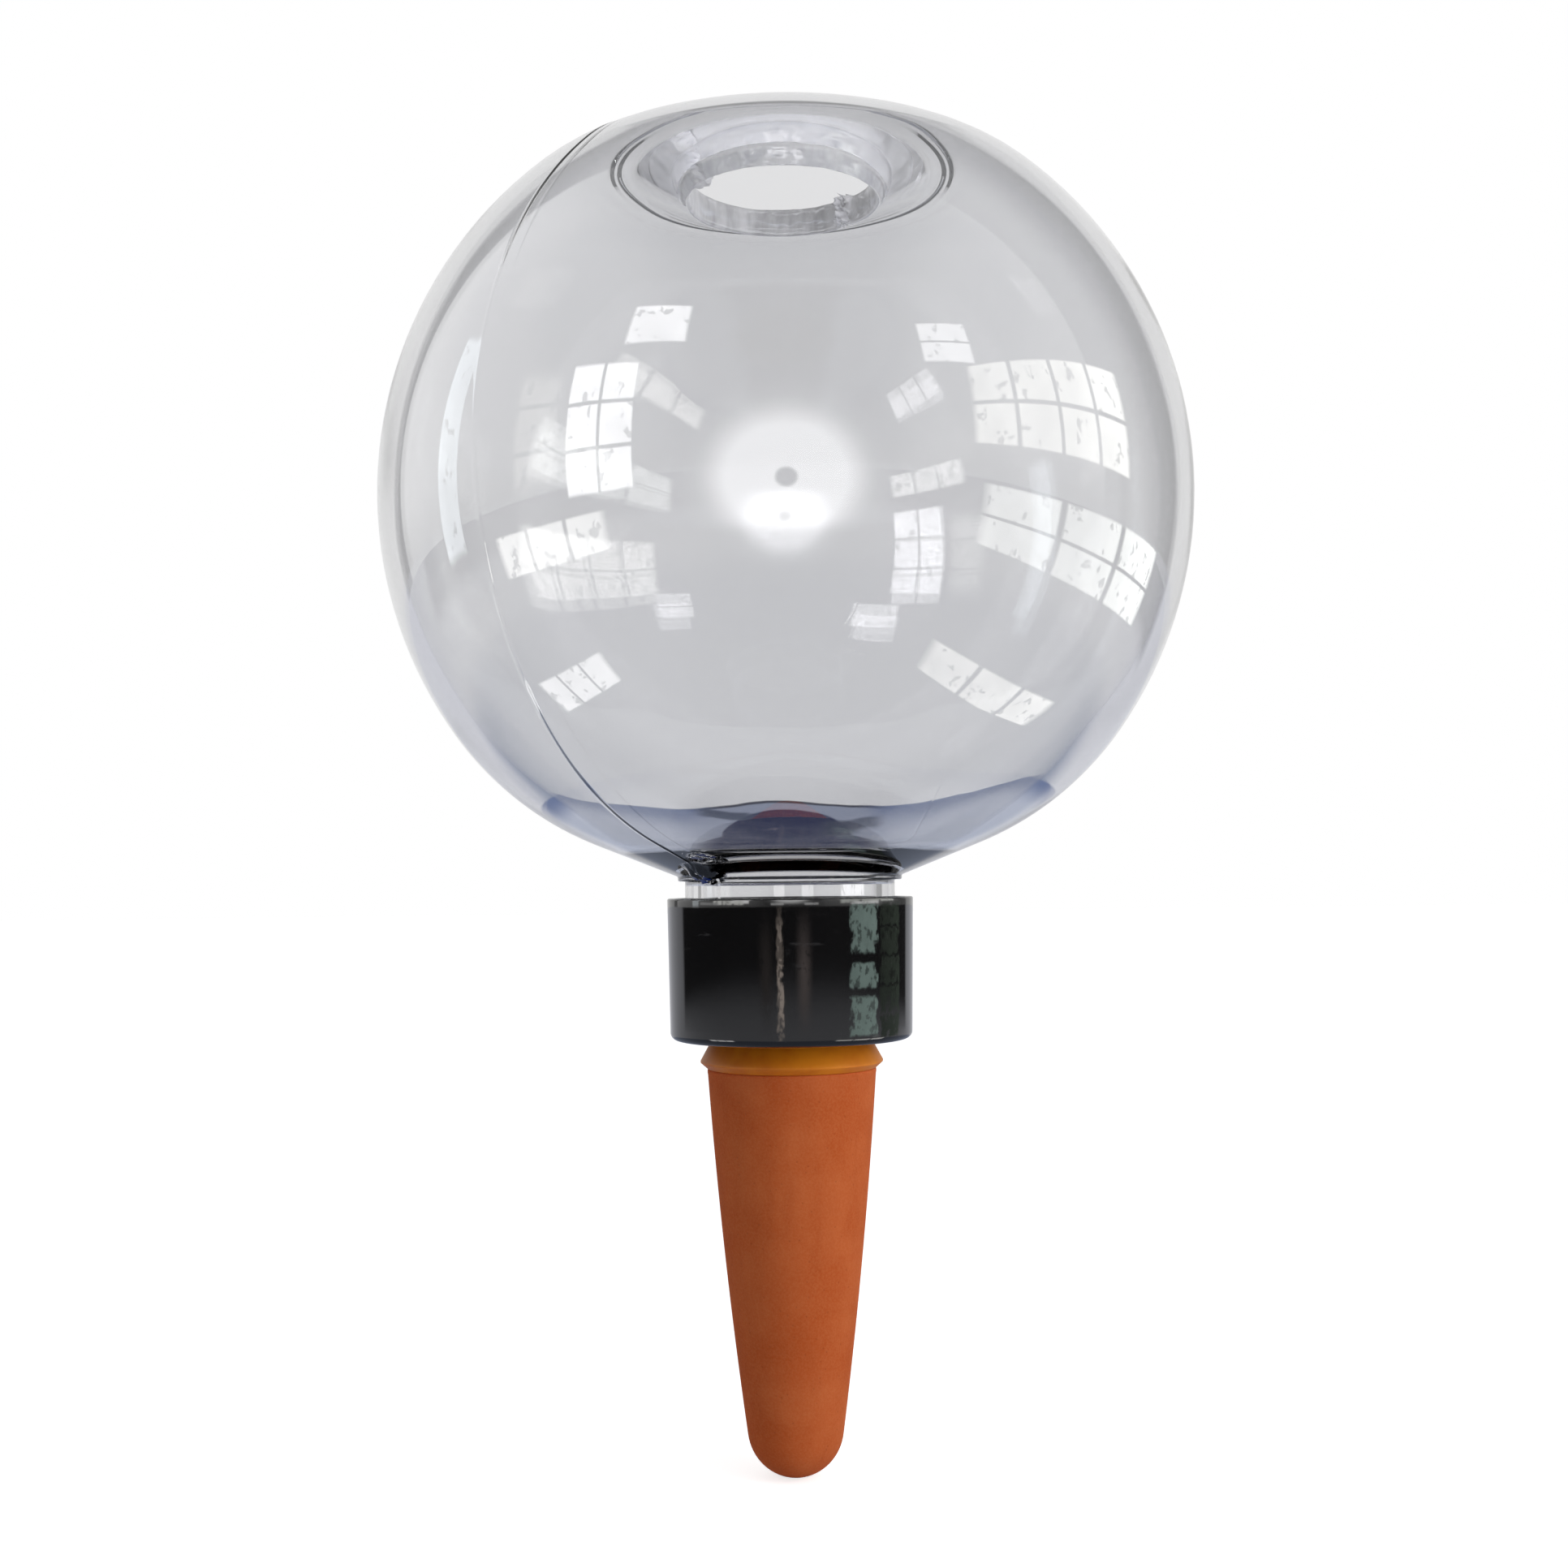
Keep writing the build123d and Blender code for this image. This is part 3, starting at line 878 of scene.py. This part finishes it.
follow(
    globe,
    cutting_rule(),
    {
        "Hole radius": FILLER_RADIUS,
        "Raggedness": 0.35 * mm,
        "Burr height": 1.3 * mm,
        "Burr width": 1.8 * mm,
        "First burr": radians(-148.0),
        "Second burr": radians(46.0),
        "Finish": clear,
    },
)
made_plain(globe)
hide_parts("globe")
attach(globe, "globe")

# ------------------------------------------------------------------------------------------------------
# Studio: a plain pale floor that the spike's tip touches, and plain soft light. The cards are what the
# plastic mirrors and what shows through its shoulder, and the camera sees none of them by itself.

FLOOR = -50.05 * mm
FLOOR_REACH = 4.0
# Light that the floor adds where the camera sees it, and all its light as seen through the plastic
FLOOR_LIFT = 0.72
FLOOR_THROUGH = 1.05
WHITE = (1, 1, 1, 1)
SQUARE = ((-1, -1), (1, -1), (1, 1), (-1, 1))
AIR_ON_MATT = 0.42
BACKDROP_TURN = radians(18.0)
BACKDROP_TILT = radians(11.42)
BACKDROP_LIGHT = 0.87
KEY_PLACE = Vector((0.42, -0.29, 0.2))
KEY_AIM = Vector((0.0, 0.0, 0.2))
KEY_SIZE = (0.28, 0.5)
KEY_POWER = 1.85
# In millimetres, as the windows below are: how far from the axis the cards before the collar and the
# neck stand, the heights that they fill, and the distances from which they are mirrored
COLLAR_CARDS = 20
COLLAR_HEIGHTS = (3, 21)
COLLAR_REACH = (0, 12)
NECK_CARDS = 60
NECK_HEIGHTS = (20.8, 22.9)
NECK_REACH = (42, 62)
CUP_GAP = 1.0 * mm
CUP_TOP = 36.0 * mm
CUP_FACETS = 96
# Heights on the cup, in millimetres: where its painted shade ends, and where its navy middle and its
# dark streaks of painted shade are
CUP_EDGE = 33.4
CUP_NAVY = 32.6
CUP_STREAK = 31.5


def studio_finish(name):
    """A new material without a shader, its tree and the card's own coordinates."""
    finish, tree, shader, place = new_finish(name)
    tree.nodes.remove(shader)
    return finish, tree, place


def emission(tree, colour, strength=1.0):
    """Light of its own."""
    return Wire.node(tree, "ShaderNodeEmission", {}, {"Color": colour, "Strength": strength})


def sheet(name, corners, finish):
    """A flat card with four corners."""
    card = new_piece(name, corners, [], [(0, 1, 2, 3)])
    card.data.materials.append(finish)
    return card


def floor_finish():
    """Pale, and plain light through the plastic. What is mirrored of it is bluish near the object and
    dark further out, except behind the object."""
    finish, tree, place = studio_finish("pale floor")
    path = Wire.node(tree, "ShaderNodeLightPath")
    paint = Wire.node(tree, "ShaderNodeBsdfDiffuse", {}, {"Color": (0.8, 0.8, 0.8, 1)})
    lift = emission(tree, WHITE, path.outlet("Is Camera Ray") * FLOOR_LIFT)
    both = Wire.node(tree, "ShaderNodeAddShader", {}, {0: paint, 1: lift})
    through = emission(tree, WHITE, FLOOR_THROUGH)
    both = mix_shaders(tree, path.outlet("Is Transmission Ray"), both, through)
    x, y, _ = split(tree, place)
    out = length(x, y)
    tint = blend(tree, out.ease(0.2, 0.32), (0.32, 0.36, 0.46, 1), (0.74, 0.75, 0.8, 1))
    further = ((y - x * 0.15) / out).ease(0.65, 0.58) * out.ease(0.5, 0.8)
    further = further * path.outlet("Transmission Depth").ease(1.0, 0.0)
    tint = blend(tree, further, tint, (0.04, 0.04, 0.042, 1))
    mirrored = path.outlet("Glossy Depth").ease(0.0, 1.0)
    both = mix_shaders(tree, mirrored, both, emission(tree, tint))
    both.feed(tree.nodes["Material Output"], "Surface")
    return finish


corners = [(x * FLOOR_REACH, y * FLOOR_REACH, FLOOR) for x, y in SQUARE]
floor = sheet("floor", corners, floor_finish())


def light_air(air):
    """Even light for what is matt, and white for the camera. What is mirrored of it is a backdrop with
    a round edge, dimmer in a ring and in its centre, and a room that is bright on its two sides."""
    path = Wire.node(air, "ShaderNodeLightPath")
    x, y, z = split(air, Wire.node(air, "ShaderNodeTexCoord").outlet("Generated"))
    ahead = x * sin(BACKDROP_TURN) + y * cos(BACKDROP_TURN)
    aside = x * cos(BACKDROP_TURN) - y * sin(BACKDROP_TURN)
    backdrop = (ahead - ((aside * aside * 0.24 + 0.01) ** 0.5 - 0.1)).ease(-0.01, 0.02)
    # The room's sides are dimmer below the horizon, and through the plastic
    direct = path.outlet("Transmission Depth").ease(1.0, 0.0).between(0.25, 1.0)
    sides = x.abs().ease(0.3, 0.62) * z.ease(-0.05, 0.15).between(0.4, 1.0) * direct * 0.9
    room = ahead.ease(-0.9, 0.1).between(0.35, 0.7) + sides
    # The backdrop's ring and its centre lie round a line that rises a little from straight ahead
    outward = y * cos(BACKDROP_TILT) + z * sin(BACKDROP_TILT)
    ring = outward.ease(0.735, 0.7) * outward.ease(0.3, 0.6)
    centre = outward.ease(0.955, 0.975)
    room = backdrop * (1 - ring * 0.6 - centre * 0.22) * BACKDROP_LIGHT + (1 - backdrop) * room
    mirrored = path.outlet("Glossy Depth").ease(0.0, 1.0)
    seen = (1 - mirrored) + mirrored * room
    matt = path.outlet("Is Diffuse Ray")
    (matt * AIR_ON_MATT + (1 - matt) * seen).feed(air.nodes["Background"], "Strength")
    air.nodes["Background"].inputs["Color"].default_value = WHITE


world = bpy.data.worlds.new("studio")
bpy.context.scene.world = world
world.use_nodes = True
light_air(world.node_tree)

light = bpy.data.lights.new("key", "AREA")
light.shape = "RECTANGLE"
light.size, light.size_y = KEY_SIZE
light.energy = KEY_POWER
key = bpy.data.objects.new("key", light)
key.location = KEY_PLACE
key.rotation_euler = (KEY_AIM - KEY_PLACE).to_track_quat("-Z", "Y").to_euler()
key.visible_camera = key.visible_glossy = key.visible_transmission = False
bpy.context.scene.collection.objects.link(key)


def light_card(tree, amount, colour, strength=1.0):
    """Ends a card's finish: light of a colour, in the amount given, and the other rays pass."""
    bare = Wire.node(tree, "ShaderNodeBsdfTransparent")
    mixed = mix_shaders(tree, amount, bare, emission(tree, colour, strength))
    mixed.feed(tree.nodes["Material Output"], "Surface")


def mirrored_only(tree, glow, colour, reach=None):
    """Ends the finish of a card that shows only where it is mirrored. With a reach, it is mirrored only
    straight from a surface between the two distances, in millimetres."""
    path = Wire.node(tree, "ShaderNodeLightPath")
    through = path.outlet("Transmission Depth")
    mirrored = path.outlet("Glossy Depth").ease(0.0, 1.0)
    if reach:
        nearest, furthest = reach[0] * mm, reach[1] * mm
        ray = path.outlet("Ray Length")
        mirrored = mirrored * through.ease(1.0, 0.0) * ray.ease(furthest, furthest * 0.9)
        mirrored = mirrored * ray.ease(nearest * 0.9 - 1e-4, nearest)
    else:
        # The rim of the globe mirrors the studio from inside its wall, and stays dark
        mirrored = mirrored * (through - 2).abs().ease(0.0, 1.0)
    light_card(tree, mirrored * glow, (*colour, 1), 1.0 if reach else 1.5)


def window(name, azimuths, heights, distance, glow, bars, soft, ragged=0.0, reach=None):
    """A window of the studio, which shows only where it is mirrored. Its lengths are in millimetres,
    and its angles in degrees, to the left of the camera round the axis. It has soft edges, bars divide
    it into so many panes across and up, and leaves stand before a ragged one."""
    low, high = heights[0] * mm, heights[1] * mm
    distance = distance * mm
    corners = []
    for turn, height in zip((0, 1, 1, 0), (low, low, high, high)):
        azimuth = radians(azimuths[turn])
        corners.append((-distance * sin(azimuth), -distance * cos(azimuth), height))
    finish, tree, place = studio_finish(name)
    ripple = noise(tree, place, 7.0 / distance, 2.0, 0.5)
    leaves = noise(tree, place, 15.0 / distance, 3.0, 0.65)
    x, y, z = split(tree, place)
    azimuth = x.math("ARCTAN2", x * -1.0, y * -1.0)
    across = (azimuth - radians(azimuths[0])) / radians(azimuths[1] - azimuths[0])
    up = (z - low) / (high - low)
    shade = leaves.ease(0.36 + ragged * 0.1, 0.42 + ragged * 0.1).between(0.35, 1.0)
    shine = ripple.between(0.6, 1.1) * shade
    across = across + (leaves + ripple * 1.6 - 1.3) * ragged
    up = up + (leaves - 0.5) * ragged * 0.5
    for at, count in zip((across, up), bars):
        inside = 0.5 - (at - 0.5).abs()
        shine = shine * inside.ease(0.0, soft)
        if count > 1:
            cell = (at * count).math("FRACT")
            shine = shine * (0.5 - (cell - 0.5).abs()).ease(0.02, 0.07)
    mirrored_only(tree, shine, glow, reach)
    pane = sheet(name, corners, finish)


for name, azimuths, heights, distance, glow, bars, soft in (
    ("window_high", (25, 43), (267, 359), 369, (6.5, 6.5, 6.5), (1, 1), 0.08),
    ("window_tall", (37, 56), (32, 266), 425, (7.5, 7.5, 7.5), (2, 3), 0.05),
    ("window_veiled", (57, 73), (47, 266), 425, (2.0, 2.0, 1.9), (1, 3), 0.2),
    ("window_strip", (92, 101), (9, 324), 425, (2.6, 2.8, 2.9), (1, 1), 0.06),
    ("window_low", (40, 73), (22, 46), 155, (5.0, 5.0, 4.8), (3, 1), 0.08),
    ("window_lowest", (52, 80), (-40, -13), 115, (5.0, 5.0, 5.0), (3, 1), 0.08),
    ("window_right_high", (-50, -35), (235, 322), 388, (5.5, 5.5, 5.5), (1, 2), 0.08),
    ("window_right", (-100, -46), (108, 253), 430, (4.8, 4.8, 4.5), (4, 2), 0.05),
    ("window_right_low", (-108, -43), (24, 60), 158, (4.0, 4.1, 3.9), (3, 2), 0.06),
    ("window_right_lowest", (-94, -38), (-40, -13), 115, (4.0, 4.0, 3.8), (3, 1), 0.08),
):
    window(name, azimuths, heights, distance, glow, bars, soft)

# Close before the collar: the garden through a window on its right, and a gap between two curtains
for index, heights in enumerate(((3.9, 9.2), (9.8, 13.2), (14.0, 20.8))):
    name, glow = "window_garden_%d" % index, (2.6, 3.5, 3.2)
    window(name, (-56, -34), heights, COLLAR_CARDS, glow, (1, 1), 0.1, 0.5, COLLAR_REACH)
for name, azimuths, glow, bars, soft, ragged in (
    ("window_leaves", (-80, -57), (0.26, 0.34, 0.26), (1, 5), 0.05, 0.3),
    ("window_gap", (4.0, 8.6), (4.6, 3.9, 3.4), (1, 1), 0.3, 1.0),
    ("window_gap_left", (8.0, 20.0), (0.35, 0.3, 0.28), (1, 1), 0.5, 0.0),
    ("window_gap_right", (-13, -1.5), (1.2, 1.0, 0.95), (1, 1), 0.5, 0.0),
):
    window(name, azimuths, COLLAR_HEIGHTS, COLLAR_CARDS, glow, bars, soft, ragged, COLLAR_REACH)
neck_lights = ((-80, -49, 9.0), (-23, -10.4, 5.0), (4.8, 16.1, 5.0), (60, 82, 3.0))
for index, (*azimuths, power) in enumerate(neck_lights):
    name, glow = "window_neck_%d" % index, (power,) * 3
    window(name, azimuths, NECK_HEIGHTS, NECK_CARDS, glow, (1, 1), 0.1, 0.0, NECK_REACH)


def ring_lamp(centre, width, height):
    """A soft ring of light in front of the camera, which shows only where it is mirrored."""
    finish, tree, place = studio_finish("ring_lamp")
    x, _, z = split(tree, place)
    out = length((x - centre[0]) / width, (z - centre[2]) / height)
    glow = out.ease(0.06, 0.12) * (out.ease(0.75, 0.3) + out.ease(1.0, 0.3) * 0.35)
    mirrored_only(tree, glow * z.ease(20 * mm, 34 * mm), (4.5, 4.5, 4.5))
    corners = [(centre[0] + i * width, centre[1], centre[2] + j * height) for i, j in SQUARE]
    ring = sheet("ring_lamp", corners, finish)


ring_lamp((0.0, -150 * mm, 56 * mm), 73 * mm, 62 * mm)


def shade_cup():
    """A card bent round the shoulder, which shows only through the plastic. Its colours are painted
    shade in blue and navy, which gives the thick plastic round the neck its dark edges."""
    outline = [(BEAD_RADIUS + CUP_GAP, BEAD_BOTTOM - 0.4 * mm)]
    for r, z in joined(*shoulder_run()[1:]):
        out = CUP_GAP / hypot(r, z - GLOBE_CENTRE)
        if z < CUP_TOP:
            outline.append((r + r * out, z + (z - GLOBE_CENTRE) * out))
    turns = [2 * pi * i / CUP_FACETS for i in range(CUP_FACETS)]
    points = [(r * sin(turn), r * cos(turn), z) for r, z in outline for turn in turns]
    faces = []
    for low in range(0, len(points) - CUP_FACETS, CUP_FACETS):
        for i in range(CUP_FACETS):
            on, high = (i + 1) % CUP_FACETS, low + CUP_FACETS
            faces.append((low + i, low + on, high + on, high + i))
    cup = new_piece("shade_cup", points, [], faces)
    cup.visible_camera = cup.visible_diffuse = cup.visible_glossy = cup.visible_shadow = False
    finish, tree, place = studio_finish("shade_cup")
    x, _, height = split(tree, place)
    off = x.abs()
    wave = noise(tree, place, 90.0, 2.0, 0.5) - 0.5
    lean = x.ease(18 * mm, 34 * mm) * 0.7 - x.ease(-18 * mm, -34 * mm) * 0.9
    below = (CUP_EDGE - off.ease(0.0, 19 * mm) * 1.5 + lean + wave * 0.6) * mm - height
    deep = (below + wave * mm).ease(0.2 * mm, 2.4 * mm)
    # Painted shade seen through the plastic: blue at the sides, a dark line, a navy middle and dark
    # streaks
    side_blue = blend(tree, deep, (0.14, 0.19, 0.36, 1), (0.62, 0.66, 0.77, 1))
    lens = below.ease(0.12 * mm, 0.3 * mm)
    middle = blend(tree, lens, (0.02, 0.02, 0.035, 1), (0.36, 0.4, 0.52, 1))
    navy = (CUP_NAVY - (off / (7.3 * mm)) ** 2 + wave * 0.4) * mm - height
    middle = blend(tree, navy.ease(-0.05 * mm, 0.1 * mm), middle, (0.004, 0.012, 0.08, 1))
    blue = blend(tree, off.ease(10 * mm, 16 * mm), middle, side_blue)
    streak = (height + x * 0.03 - (CUP_STREAK + wave * 1.2) * mm).abs().ease(0.42 * mm, 0.2 * mm)
    streak = streak * off.ease(4 * mm, 7 * mm) * off.ease(15 * mm, 12 * mm)
    blue = blend(tree, streak * 0.9, blue, (0.02, 0.034, 0.08, 1))
    # Only the shoulder is close to the card, so once the globe has risen nothing shows it
    close = Wire.node(tree, "ShaderNodeLightPath").outlet("Ray Length").ease(6.5 * mm, 5 * mm)
    light_card(tree, close * below.ease(-0.1 * mm, 0.06 * mm), blue)
    cup.data.materials.append(finish)


shade_cup()

# ------------------------------------------------------------------------------------------------------
# Camera: as in the photograph, level with the neck and close by, looking a little upwards.

CAMERA_PLACE = (-0.6 * mm, -234.0 * mm, 23.2 * mm)
CAMERA_RISE = 2.96
CAMERA_ROLL = -0.62
CAMERA_LENS = 42.86
CAMERA_SENSOR = 36.0

view = bpy.data.cameras.new("view")
view.lens = CAMERA_LENS
view.sensor_width = CAMERA_SENSOR
view.clip_start = 5.0 * mm
camera = bpy.data.objects.new("view", view)
camera.location = CAMERA_PLACE
camera.rotation_euler = Euler((radians(90 + CAMERA_RISE), 0.0, 0.0))
camera.rotation_euler.rotate_axis("Z", radians(CAMERA_ROLL))
bpy.context.scene.collection.objects.link(camera)
bpy.context.scene.camera = camera
bpy.context.scene.view_settings.view_transform = "Standard"
